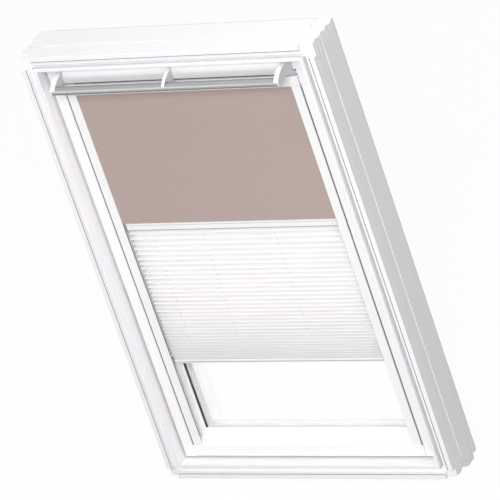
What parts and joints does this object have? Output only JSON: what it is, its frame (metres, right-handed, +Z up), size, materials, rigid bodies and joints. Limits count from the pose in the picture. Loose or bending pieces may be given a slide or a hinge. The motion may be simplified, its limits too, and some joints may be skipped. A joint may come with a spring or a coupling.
{
  "type": "skylight window blind",
  "caption": "Centre-pivot roof window in white wood with a ventilation flap and control bar, fitted with a roller blackout cloth above a pleated cloth in side rails.",
  "frame": {"origin": "centre of the sill's bottom face, midway through the window's depth", "axes": "+X to the right seen from the room, +Y from the room to the outside, +Z up the window from sill to head"},
  "size_m": [0.78, 0.1631, 1.189],
  "materials": {
    "white_lacquered_pine": "satin white lacquer on laminated pine",
    "white_plastic": "smooth white moulded plastic",
    "white_coated_aluminium": "white powder coat on extruded aluminium",
    "grey_coated_aluminium": "dark grey coil coat on folded aluminium",
    "anodised_aluminium": "satin clear anodised drawn tube",
    "light_grey_plastic": "fine-textured moulded plastic",
    "zinc_plated_steel": "zinc-plated pressed steel",
    "black_rubber": "matt extruded seal",
    "clear_glass": "clear float glass",
    "taupe_blackout_cloth": "fine plain weave with a light-tight back",
    "white_pleated_cloth": "thin translucent pleated polyester",
    "filter_fleece": "open polyester fleece"
  },
  "bodies": {
    "frame": {"frame_left": "white_lacquered_pine", "frame_right": "white_lacquered_pine", "frame_top": "white_lacquered_pine", "frame_bottom": "white_lacquered_pine", "lining_trim_left": "white_plastic", "lining_trim_right": "white_plastic", "lining_trim_top": "white_plastic", "lining_trim_bottom": "white_plastic", "frame_cover_left": "grey_coated_aluminium", "frame_cover_right": "grey_coated_aluminium", "frame_cover_top": "grey_coated_aluminium", "frame_cover_bottom": "grey_coated_aluminium", "pivot_pin_left": "zinc_plated_steel", "pivot_pin_right": "zinc_plated_steel", "gap_seal_upper": "black_rubber", "gap_seal_lower": "black_rubber", "lock_striker": "zinc_plated_steel"},
    "sash": {"sash_stile_left": "white_lacquered_pine", "sash_stile_right": "white_lacquered_pine", "sash_head": "white_lacquered_pine", "sash_sill": "white_lacquered_pine", "glass_inner_pane": "clear_glass", "glass_outer_pane": "clear_glass", "glass_spacer": "light_grey_plastic", "glazing_gasket": "black_rubber", "sash_cover_left": "grey_coated_aluminium", "sash_cover_right": "grey_coated_aluminium", "sash_cover_top": "grey_coated_aluminium", "sash_cover_bottom": "grey_coated_aluminium", "pivot_plate_left": "zinc_plated_steel", "pivot_plate_right": "zinc_plated_steel", "lock_case": "zinc_plated_steel", "lock_faceplate": "zinc_plated_steel", "vent_filter": "filter_fleece", "guide_rail_left": "white_coated_aluminium", "guide_rail_right": "white_coated_aluminium", "cassette": "white_coated_aluminium", "cassette_cap_left": "white_plastic", "cassette_cap_right": "white_plastic"},
    "flap": {"vent_flap": "light_grey_plastic", "bar_arm_left": "white_plastic", "bar_arm_right": "white_plastic", "bar_arm_middle": "white_plastic", "control_bar": "anodised_aluminium"},
    "latch": {"latch": "zinc_plated_steel"},
    "roller": {"roller_tube": "anodised_aluminium", "rolled_cloth": "taupe_blackout_cloth", "roller_plug_left": "light_grey_plastic", "roller_plug_right": "light_grey_plastic"},
    "middle_bars": {"blackout_cloth": "taupe_blackout_cloth", "blackout_bar": "white_coated_aluminium", "pleat_top_bar": "white_coated_aluminium", "middle_slider_left": "light_grey_plastic", "middle_slider_right": "light_grey_plastic", "pleated_cloth": "white_pleated_cloth"},
    "lower_bar": {"pleat_bottom_bar": "white_coated_aluminium", "lower_slider_left": "light_grey_plastic", "lower_slider_right": "light_grey_plastic"}
  },
  "joints": [
    {"name": "sash_pivot", "type": "hinge", "parent": "frame", "child": "sash", "pos_m": [0, 0.00035, 0.589], "axis": [1, 0, 0], "range_deg": [0, 160]},
    {"name": "flap_tilt", "type": "hinge", "parent": "sash", "child": "flap", "pos_m": [0, -0.02865, 1.092], "axis": [1, 0, 0], "range_deg": [0, 25]},
    {"name": "latch_slide", "type": "slide", "parent": "sash", "child": "latch", "axis": [0, 0, 1], "range_m": [-0.0085, 0]},
    {"name": "blackout_slide", "type": "slide", "parent": "sash", "child": "middle_bars", "axis": [0, 0, 1], "range_m": [0, 0.345], "deforming": ["blackout_cloth"]},
    {"name": "roller_spin", "type": "hinge", "parent": "sash", "child": "roller", "pos_m": [0, -0.02035, 1.0705], "axis": [1, 0, 0], "range_deg": [-2090, 0]},
    {"name": "pleat_slide", "type": "slide", "parent": "middle_bars", "child": "lower_bar", "axis": [0, 0, 1], "range_m": [-0.215, 0.31], "deforming": ["pleated_cloth"]}
  ],
  "couplings": [
    {"joint": "latch_slide", "follows": "flap_tilt", "m_per_rad": -0.018},
    {"joint": "roller_spin", "follows": "blackout_slide", "rad_per_m": -105}
  ]
}
